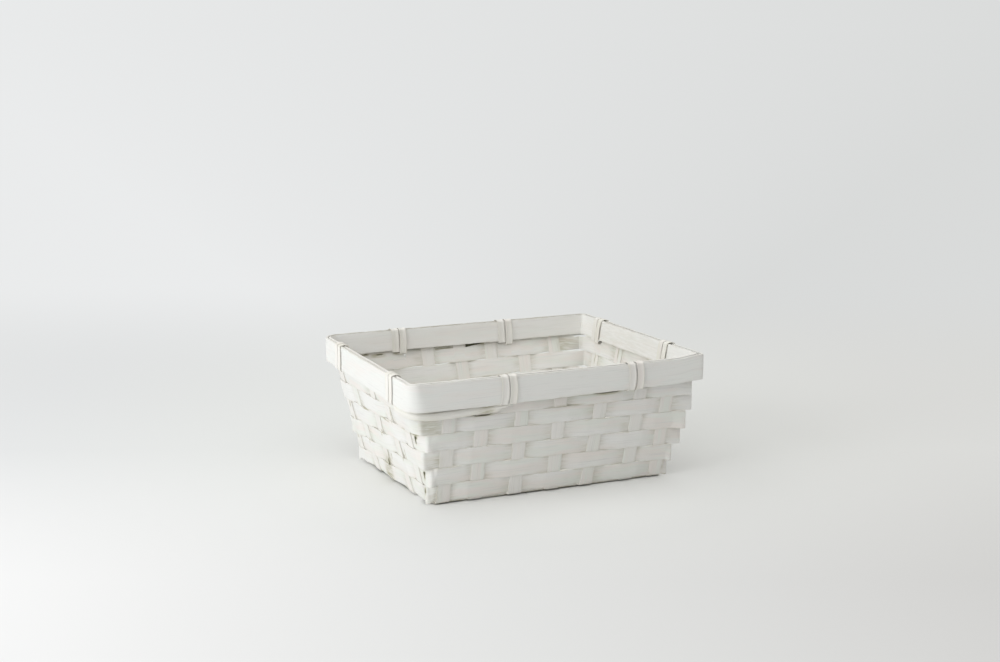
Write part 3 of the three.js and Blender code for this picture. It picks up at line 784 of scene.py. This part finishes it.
def notch_top(edges):
    """Cuts the last ring's top edge down where it falls short on the back wall."""
    at_back = edges[:, 4] > WALL_HALF[2] / 2
    tall = edges[:, 5] - edges[:, 2]
    for notch in TOP_NOTCHES:
        share = np.where(at_back, dent(edges[:, 3], *notch, NOTCH_SOFTNESS), 0) / tall
        edges[:, 3:6] += (edges[:, :3] - edges[:, 3:6]) * share[:, None]


for ring in range(LAST_RING + 1):
    weaver = Shape()
    step = LAST_RING_STEP if ring == LAST_RING else RING_STEP
    edges = smooth_path(ring_knots(ring), step, closed=True)
    if ring == LAST_RING:
        notch_top(edges)
    strip(weaver, edges, WEAVER_THICKNESS, closed=True, segments=16, splinters=34)
    name = f"weaver_row_{ring + 1}"
    weaver.finish(name + "_wood", weaver_paint, [name])


# Stakes and base strips

BEND_STEPS, STAKE_STEP = 3, 1.6


def crossing(one, other):
    """Where two lines of the base cross, seen from above."""
    a, b = one
    c, d = other
    p, q = b - a, d - c
    t = ((c[0] - a[0]) * q[1] - (c[1] - a[1]) * q[0]) / (p[0] * q[1] - p[1] * q[0])
    return mix(a, b, t)


def base_strips(wall, opposite):
    """Strips of the base in one direction: (line, end, other end, width), with fillers between."""
    ends = [end for end in STAKE_ENDS if end[0] == wall]
    others = [end for end in STAKE_ENDS if end[0] == opposite][::-1]
    least_room = STAKE_WIDTH + BASE_STRIP_WIDTH + 4 * FLAT_MARGIN + 2 * LEAST_RUN
    strips = []
    for end, other in zip(ends, others):
        line = [foot_point(wall, end[2]), foot_point(opposite, other[2])]
        if strips:
            last = strips[-1][0]
            if min(np.linalg.norm(p - q) for p, q in zip(line, last)) > least_room:
                strips.append(([mix(p, q, 0.5) for p, q in zip(line, last)], None, None, BASE_STRIP_WIDTH))
        strips.append((line, end, other, STAKE_WIDTH))
    return strips


def bend(before, tip, after, radius):
    """A rounded bend between two straight stretches, as points of a curve."""
    a, b = unit(before - tip), unit(after - tip)
    reach = radius / math.tan(math.acos(float(np.clip(a @ b, -1, 1))) / 2)
    shares = [i / BEND_STEPS for i in range(BEND_STEPS + 1)]
    return [tip + a * reach * (1 - t) ** 2 + b * reach * t**2 for t in shares]


def lashing_over(wall, number):
    """The lashing that passes through the wall over a stake, if there is one."""
    reach = (LASHING_WIDTH + LASHING_PITCH + STAKE_WIDTH) / 2
    for _, *one in LASHINGS:
        if one[:2] == [wall, number] and abs(one[2]) < reach:
            return one


def stake_upright(end):
    """A stake's route up its wall to between the rim bands, or only to a lashing that it meets."""
    wall, number, foot, head = end
    levels = BASE_HEIGHT, BASE_HEIGHT + STAKE_KNEE, WEAVE_HEAD - STAKE_NECK
    low, above, below = [wall_point(wall, foot, head, z) for z in levels]
    over = lashing_over(wall, number)
    if over:
        return [low, above, wall_point(wall, foot, head, min(ring_line(wall, foot, 1), dip_height(*over)))]
    shoulder = wall_point(wall, foot, head, WEAVE_HEAD)
    behind = head_point(wall, head) + OUTWARD[wall] * (WALL_INSET - STAKE_RIM_INSET)
    behind[2] = BAND_FOOT + OUTER_BAND_HEIGHT / 2
    top = behind.copy()
    top[2] = RIM_HEIGHT - STAKE_TOP_DROP
    return [low, above, below, shoulder, behind, top]


def base_rise(p):
    """How far the base stands off the floor: it rests at its corners and bows up between them."""
    half_x, half_y = BASE_CORNERS[1][0], -BASE_CORNERS[0][1]
    corner = min(abs(p[0] / half_x), 1) ** BASE_BOW_POWER * min(abs(p[1] / half_y), 1) ** BASE_BOW_POWER
    return BASE_BOW * (1 - corner) * max(0.0, 1 - p[2] / BASE_BOW_FADE)


def base_strip(name, parts, direction, crossers, parity, beside):
    """A stake from wall to wall, or a filler between two stakes, which turns up behind the bottom
    ring and flares there as far as the line beside it lets it."""
    line, end, other, width = parts
    across = ALONG[direction]
    run = unit(line[1] - line[0])
    path = []
    for i, crosser in enumerate(crossers):
        level = 1 if (i + parity) % 2 else -1
        flat_half = crosser[3] / 2 + FLAT_MARGIN
        middle = crossing(line, crosser[0]) + UP * (BASE_HEIGHT + level * BASE_OFFSET)
        path += [middle - run * flat_half, middle + run * flat_half]
    if end:
        first, last = stake_upright(end), stake_upright(other)
        before = first[:0:-1] + bend(first[1], first[0], path[0], BEND_RADIUS)
        after = bend(path[-1], last[0], last[1], BEND_RADIUS) + last[1:]
        spread, flares = BASE_SPREAD, (width, width)
        segments, splinters, paint, slot = 14, 16, stake_paint, "stake"
    else:
        before, after = ([tip + way * tuck + UP * z for tuck, z in FILLER_ENDS]
                         for tip, way in zip(line, (run, -run)))
        after = after[::-1]
        rooms = [np.linalg.norm(tip - near) for tip, near in zip(line, beside)]
        spread, flares = FILLER_SPREAD, [2 * (room - FILLER_GAP) - STAKE_WIDTH for room in rooms]
        segments, splinters, paint, slot = 10, 8, base_paint, "base_strip"
    widths = [flares[0]] * len(before) + [width * spread] * len(path) + [flares[1]] * len(after)
    knots = []
    for p, wide in zip(before + path + after, widths):
        ends = p - across * wide / 2, p + across * wide / 2
        knots.append(np.concatenate([q + UP * base_rise(q) for q in ends]))
    piece = Shape()
    edges = smooth_path(knots, STAKE_STEP)
    strip(piece, edges, STAKE_THICKNESS, segments=segments, splinters=splinters, wobble=0.0)
    piece.finish(name + "_wood", paint, [name])


crosswise = base_strips(0, 2)
lengthwise = base_strips(3, 1)[::-1]
for strips, crossers, direction, parity, stake_name, filler_name in (
    (crosswise, lengthwise, 0, 0, "cross_stake_", "base_cross_strip_"),
    (lengthwise, crosswise, 3, 1, "long_stake_", "base_long_strip_"),
):
    counts = {stake_name: 0, filler_name: 0}
    for i, parts in enumerate(strips):
        kind = stake_name if parts[1] else filler_name
        counts[kind] += 1
        base_strip(kind + str(counts[kind]), parts, direction, crossers, i + parity, strips[i - 1][0])


# Rim bands

RIM_CORNER_STEPS, BAND_STEP, INNER_TOP_SHIFT = 9, 1.9, 1.9


def rim_band(name, paint, top_inset, foot_inset, height, sags=(0, 0, 0, 0), left_shift=0.0, hangs=False):
    """A band round the rim. Its top may lie further out on the left, and its foot may sag at the
    corners and hang at the back. The corners turn its foot more broadly than its top."""
    knots = []
    for corner, (sx, sy) in enumerate(CORNER_SIGNS):
        foot = foot_inset, RIM_HEIGHT - height - sags[corner], RIM_FOOT_RADII[corner], 0.0
        top = top_inset, RIM_HEIGHT, RIM_TOP_RADII[corner], left_shift
        for i in range(RIM_CORNER_STEPS + 1):
            angle = math.pi / 2 * (corner + 2 + i / RIM_CORNER_STEPS)
            ray = point(math.cos(angle), math.sin(angle))
            pair = []
            for inset, z, corner_radius, shift in (foot, top):
                radius = max(corner_radius - inset, BAND_THICKNESS)
                x, y = sx * (RIM_LENGTH / 2 - inset - radius), sy * (RIM_DEPTH / 2 - inset - radius)
                pair.append(point(x - shift if sx < 0 else x, y, z) + ray * radius)
            knots.append(np.concatenate(pair))
    band = Shape()
    edges = smooth_path(knots, BAND_STEP, closed=True)
    if hangs:
        at_back = edges[:, 1] > WALL_HALF[2] / 2
        edges[:, 2] -= np.where(at_back, dent(edges[:, 0], *BAND_HANG, HANG_SOFTNESS), 0)
    strip(band, edges, BAND_THICKNESS, closed=True, segments=24, splinters=46,
          edge_wobble=0.28, grain_depth=0.07, edge_share=0.75, wobble=0.12)
    band.finish(name + "_wood", paint, [name])


outer_inset = BAND_THICKNESS / 2
inner_inset = BAND_THICKNESS + BAND_SLIT + BAND_THICKNESS / 2
rim_band("outer_rim_band", outer_rim_paint_shaded, outer_inset, outer_inset, OUTER_BAND_HEIGHT, BAND_SAGS, hangs=True)
rim_band("inner_rim_band", inner_rim_paint_lit, inner_inset, inner_inset + INNER_BAND_LEAN, INNER_BAND_HEIGHT,
         left_shift=INNER_TOP_SHIFT)


# Lashings

# How round a lashing's corners are, and how far its strands bow aside and out on the outer face, and
# up on the rim. Each turn sways a little.
ROUND_CORNER, SIDE_BOW, FACE_BOW, TOP_BOW = 2.1, 1.1, 0.2, 0.45
LASHING_SWAY, LASHING_SEED, LASHING_STEP = 0.35, 500, 0.8


def lashing(name, wall, stake, shift, seed):
    """One strip wound twice round both rim bands."""
    lift = LASHING_CLEARANCE + LASHING_THICKNESS / 2
    place = lashing_place(wall, stake, shift)
    top, foot = RIM_HEIGHT + lift, rim_foot(wall, place) - lift
    rng = np.random.default_rng(seed)

    def inner_face(z):
        return 2 * BAND_THICKNESS + BAND_SLIT + lift + INNER_BAND_LEAN * (RIM_HEIGHT - z) / INNER_BAND_HEIGHT

    def at(inset, z, turn, sway):
        along = place + LASHING_PITCH * turn + sway
        return OUTWARD[wall] * (WALL_HALF[wall] - inset) + ALONG[wall] * along + UP * z

    def loop(turn):
        sways = rng.uniform(-LASHING_SWAY, LASHING_SWAY, 4)
        insets = -lift, -lift, inner_face(top), inner_face(foot)
        return [at(inset, z, turn, sway) for inset, z, sway in zip(insets, (foot, top, top, foot), sways)]

    first = -(LASHING_TURNS - 1) / 2
    turns = [p for turn in range(LASHING_TURNS) for p in loop(first + turn)]
    start = mix(turns[0], loop(first - 1)[-1], LASHING_START_SHARE)
    end = mix(turns[-2], turns[-1], LASHING_END_SHARE)
    route = [start, *turns[:-1], end]
    path = [start]
    for i, (before, tip, after) in enumerate(zip(route, route[1:], route[2:])):
        path += bend(before, tip, after, ROUND_CORNER)
        if i % 4 == 0:
            bow = ALONG[wall] * SIDE_BOW + OUTWARD[wall] * FACE_BOW
            path += [mix(tip, after, t) + bow * math.sin(math.pi * t) for t in (0.25, 0.5, 0.75)]
        if i % 4 == 1:
            path.append(mix(tip, after, 0.5) + UP * TOP_BOW)
    path.append(end)
    half = ALONG[wall] * LASHING_WIDTH / 2
    knots = [np.concatenate((p - half, p + half)) for p in path]
    piece = Shape()
    strip(piece, smooth_path(knots, LASHING_STEP), LASHING_THICKNESS, segments=14, splinters=7,
          edge_wobble=0.25, edge_share=0.12, wobble=0.05, crown=0.65)
    piece.finish(name + "_cane", lashing_paint, [name])


for number, (name, wall, stake, shift) in enumerate(LASHINGS):
    lashing(name, wall, stake, shift, LASHING_SEED + number)


# The loose tail

# Its route round the front left corner: in from the left face and from the front face and down from
# the band's foot, first and last at a lashing.
TAIL_WIDTH, TAIL_THICKNESS, TAIL_STEP = 6.4, 0.9, 0.9
TAIL_START, TAIL_END = (1.5, 3.4), (2, 3.2)
TAIL_ROUTE = [
    (2, 25, 3.6),
    (4, 12.5, 3.8),
    (10.5, 5, 4.2),
    (22.5, 3, 4.8),
    (38.5, 3.1, 4.6),
    (54.5, 3.2, 3.9),
    (68.5, 3.1, 3.4),
]

# Its pointed end, which twists up under the lashing: how far past the last point, in from the front
# face, down and how wide. Before it the paint is rubbed off, on the front wall alone.
TAIL_WEDGE = [(3, 1.6, 0.7, 3.6), (6.5, 0.9, 0.9, 2), (10, 0.5, 1.1, 0.7)]
TAIL_BARE, TAIL_BARE_PLACE, TAIL_BARE_REACH, TAIL_BARE_DEPTH = 0.85, 9, 7, 10


def loose_tail(name, start_lashing, end_lashing):
    left, front, foot = -RIM_LENGTH / 2, -RIM_DEPTH / 2, BAND_FOOT - BAND_SAGS[0]
    half_lashing = (LASHING_TURNS * LASHING_PITCH - LASHING_SLIT) / 2 + CLEARANCE
    places = {one[0]: lashing_place(*one[1:]) for one in LASHINGS}
    start_y = -places[start_lashing] - half_lashing
    end_x = places[end_lashing] - half_lashing - LASHING_PITCH * LASHING_START_SHARE
    route = [point(left + TAIL_START[0], start_y, foot - TAIL_START[1])]
    route += [point(left + x, front + y, foot - drop) for x, y, drop in TAIL_ROUTE]
    route.append(point(end_x, front + TAIL_END[0], foot - TAIL_END[1]))
    knots = [np.concatenate((p - UP * TAIL_WIDTH / 2, p + UP * TAIL_WIDTH / 2)) for p in route]
    for x, inset, drop, width in TAIL_WEDGE:
        top = point(end_x + x, front + inset, foot - drop)
        knots.append(np.concatenate((top - UP * width, top)))
    edges = smooth_path(knots, TAIL_STEP)
    bare_or_shade = np.exp(-(((edges[:, 0] - end_x + TAIL_BARE_PLACE) / TAIL_BARE_REACH) ** 2)) * TAIL_BARE
    bare_or_shade = np.where(edges[:, 1] < front + TAIL_BARE_DEPTH, bare_or_shade, 0)
    piece = Shape()
    strip(piece, edges, TAIL_THICKNESS, segments=12, splinters=10, edge_wobble=0.35, edge_share=0.3,
          wobble=0.05, fold=0.9, bare_or_shade=bare_or_shade)
    piece.finish(name + "_cane", lashing_paint, [name])


loose_tail("loose_lashing_tail", "lashing_left_front", "lashing_front_left")


# Floor, light and camera

# The picture's left to right, seen from the photograph's side, and its depth away from the viewer.
ACROSS_VIEW = (0.912, -0.410, 0)
INTO_VIEW = (0.410, 0.912, 0)

FLOOR_RADII, FLOOR_SIDES = [0.4, 0.8, 1.4, 2.4, 5, 12, 60], 48

# The background far off and how far to either side it changes. Then the floor from left to right, in
# front of the basket and beside it, lighter on the left and darker on the right as painted light, and a
# painted pool of light close to the basket that thins its shade, with the distances over which one becomes
# the next, and those over which the floor becomes the background: into the view, from the basket and to
# the left.
FAR_LEFT, FAR_RIGHT, FAR_SPAN = (0.825, 0.835, 0.838), (0.695, 0.705, 0.70), (-0.36, 0.36)
FRONT_TONES = [(0.86, 0.86, 0.87), (0.735, 0.74, 0.74), (0.645, 0.64, 0.635)]
BESIDE_TONES = [(0.735, 0.745, 0.755), (0.78, 0.795, 0.775), (0.75, 0.752, 0.745)]
CLOSE_PAINTED_LIGHT = (0.82, 0.825, 0.815)
LEFT_SPAN, RIGHT_SPAN, DEPTH_SPAN, CLOSE_PAINTED_LIGHT_SPAN = (-0.5, 0), (0, 0.45), (-0.3, 0.05), (0.12, 0.24)
FADE_INTO, FADE_FROM, FADE_LEFT = (0.2, 1), (0.8, 1.6), (0.42, 0.75)


def stage_floor():
    """A pale floor, far wider than the view."""
    mesh = bpy.data.meshes.new("floor")
    turns = [2 * math.pi * k / FLOOR_SIDES for k in range(FLOOR_SIDES)]
    points = [(0, 0, 0)]
    points += [(r * math.cos(turn), r * math.sin(turn), 0) for r in FLOOR_RADII for turn in turns]
    sides = [(k, (k + 1) % FLOOR_SIDES) for k in range(FLOOR_SIDES)]
    faces = [(0, 1 + k, 1 + after) for k, after in sides]
    for ring in range(len(FLOOR_RADII) - 1):
        low, high = 1 + ring * FLOOR_SIDES, 1 + (ring + 1) * FLOOR_SIDES
        faces += [(low + k, high + k, high + after, low + after) for k, after in sides]
    mesh.from_pydata(points, [], faces)
    floor = bpy.data.objects.new("floor", mesh)
    bpy.context.collection.objects.link(floor)
    return floor


def far_tone(kit, direction):
    """The background's pale grey far off, a little lighter on the left than on the right."""
    side = kit.ramp(kit.dot(direction, ACROSS_VIEW), *FAR_SPAN, smooth=False)
    return kit.blend(side, FAR_LEFT, FAR_RIGHT)


floor = stage_floor()
floor_material = bpy.data.materials.new("floor")
kit = Nodes(floor_material)
where = kit.node("ShaderNodeNewGeometry").outputs["Position"]
across = kit.dot(where, ACROSS_VIEW)
depth = kit.dot(where, INTO_VIEW)
tones = []
# The floor's tones, lighter on the left and darker on the right, are painted light.
for left, middle, right in (FRONT_TONES, BESIDE_TONES):
    tone = kit.blend(kit.ramp(across, *LEFT_SPAN, smooth=False), left, middle)
    tones.append(kit.blend(kit.ramp(across, *RIGHT_SPAN, smooth=False), tone, right))
near = kit.blend(kit.ramp(depth, *DEPTH_SPAN, smooth=False), *tones)
# A painted pool of light on the floor close to the basket.
near = kit.blend(kit.ramp(kit.length(where), *CLOSE_PAINTED_LIGHT_SPAN), CLOSE_PAINTED_LIGHT, near)
matt = kit.made("ShaderNodeBsdfDiffuse", "BSDF", near)
glow = kit.made("ShaderNodeEmission", "Emission", far_tone(kit, kit.unit(where)))
away = kit.math("MAXIMUM", kit.ramp(depth, *FADE_INTO), kit.ramp(kit.length(where), *FADE_FROM))
away = kit.math("MAXIMUM", away, kit.ramp(kit.dot(where, (-1.0, 0.0, 0.0)), *FADE_LEFT))
seen = kit.math("MULTIPLY", kit.node("ShaderNodeLightPath").outputs["Is Camera Ray"], away)
both = kit.made("ShaderNodeMixShader", "Shader", seen, matt, glow)
kit.put(both, kit.node("ShaderNodeOutputMaterial").inputs["Surface"])
floor.data.materials.append(floor_material)

# The studio: a dim even room, bright overhead, with a broad soft lamp on the left.
ROOM, OVERHEAD, OVERHEAD_SPAN = 0.02, 1.21, (0.05, 0.95)
ROOM_COLOUR, LAMP_COLOUR = (1, 0.998, 0.98), (0.972, 0.988, 1)
LAMP_PLACE, LAMP_TARGET = (-1.75, -0.30, 0.50), (0, 0, 0.05)
LAMP_SIZE, LAMP_POWER = 1.5, 19.4

world = bpy.data.worlds.new("studio")
bpy.context.scene.world = world
kit = Nodes(world)
toward = kit.node("ShaderNodeTexCoord").outputs["Generated"]
height = kit.dot(toward, (0.0, 0.0, 1.0))
light = kit.math("ADD", kit.math("MULTIPLY", kit.ramp(height, *OVERHEAD_SPAN), OVERHEAD), ROOM)
ambient = kit.made("ShaderNodeBackground", "Background", ROOM_COLOUR, light)
behind = kit.made("ShaderNodeBackground", "Background", far_tone(kit, toward))
seen = kit.node("ShaderNodeLightPath").outputs["Is Camera Ray"]
both = kit.made("ShaderNodeMixShader", "Shader", seen, ambient, behind)
kit.put(both, kit.node("ShaderNodeOutputWorld").inputs["Surface"])

lamp = bpy.data.lights.new("soft_lamp", "AREA")
lamp.shape = "DISK"
lamp.size = LAMP_SIZE
lamp.energy = LAMP_POWER
lamp.color = LAMP_COLOUR
lamp_object = bpy.data.objects.new("soft_lamp", lamp)
lamp_object.location = LAMP_PLACE
lamp_object.rotation_euler = (Vector(LAMP_PLACE) - Vector(LAMP_TARGET)).to_track_quat("Z", "Y").to_euler()
bpy.context.collection.objects.link(lamp_object)

# The camera stands where the photograph was taken from.
CAMERA_PLACE = (-0.57207, -1.25503, 0.39833)
CAMERA_YAW, CAMERA_PITCH = -0.423, 0.196
CAMERA_LENS, SENSOR_WIDTH = 56.16, 36

camera = bpy.data.cameras.new("camera")
camera.lens = CAMERA_LENS
camera.sensor_width = SENSOR_WIDTH
camera.sensor_fit = "HORIZONTAL"
camera_object = bpy.data.objects.new("camera", camera)
camera_object.location = CAMERA_PLACE
level = math.cos(CAMERA_PITCH)
ahead = Vector((-math.sin(CAMERA_YAW) * level, math.cos(CAMERA_YAW) * level, -math.sin(CAMERA_PITCH)))
camera_object.rotation_euler = ahead.to_track_quat("-Z", "Y").to_euler()
bpy.context.collection.objects.link(camera_object)
bpy.context.scene.camera = camera_object
bpy.context.scene.view_settings.view_transform = "Standard"
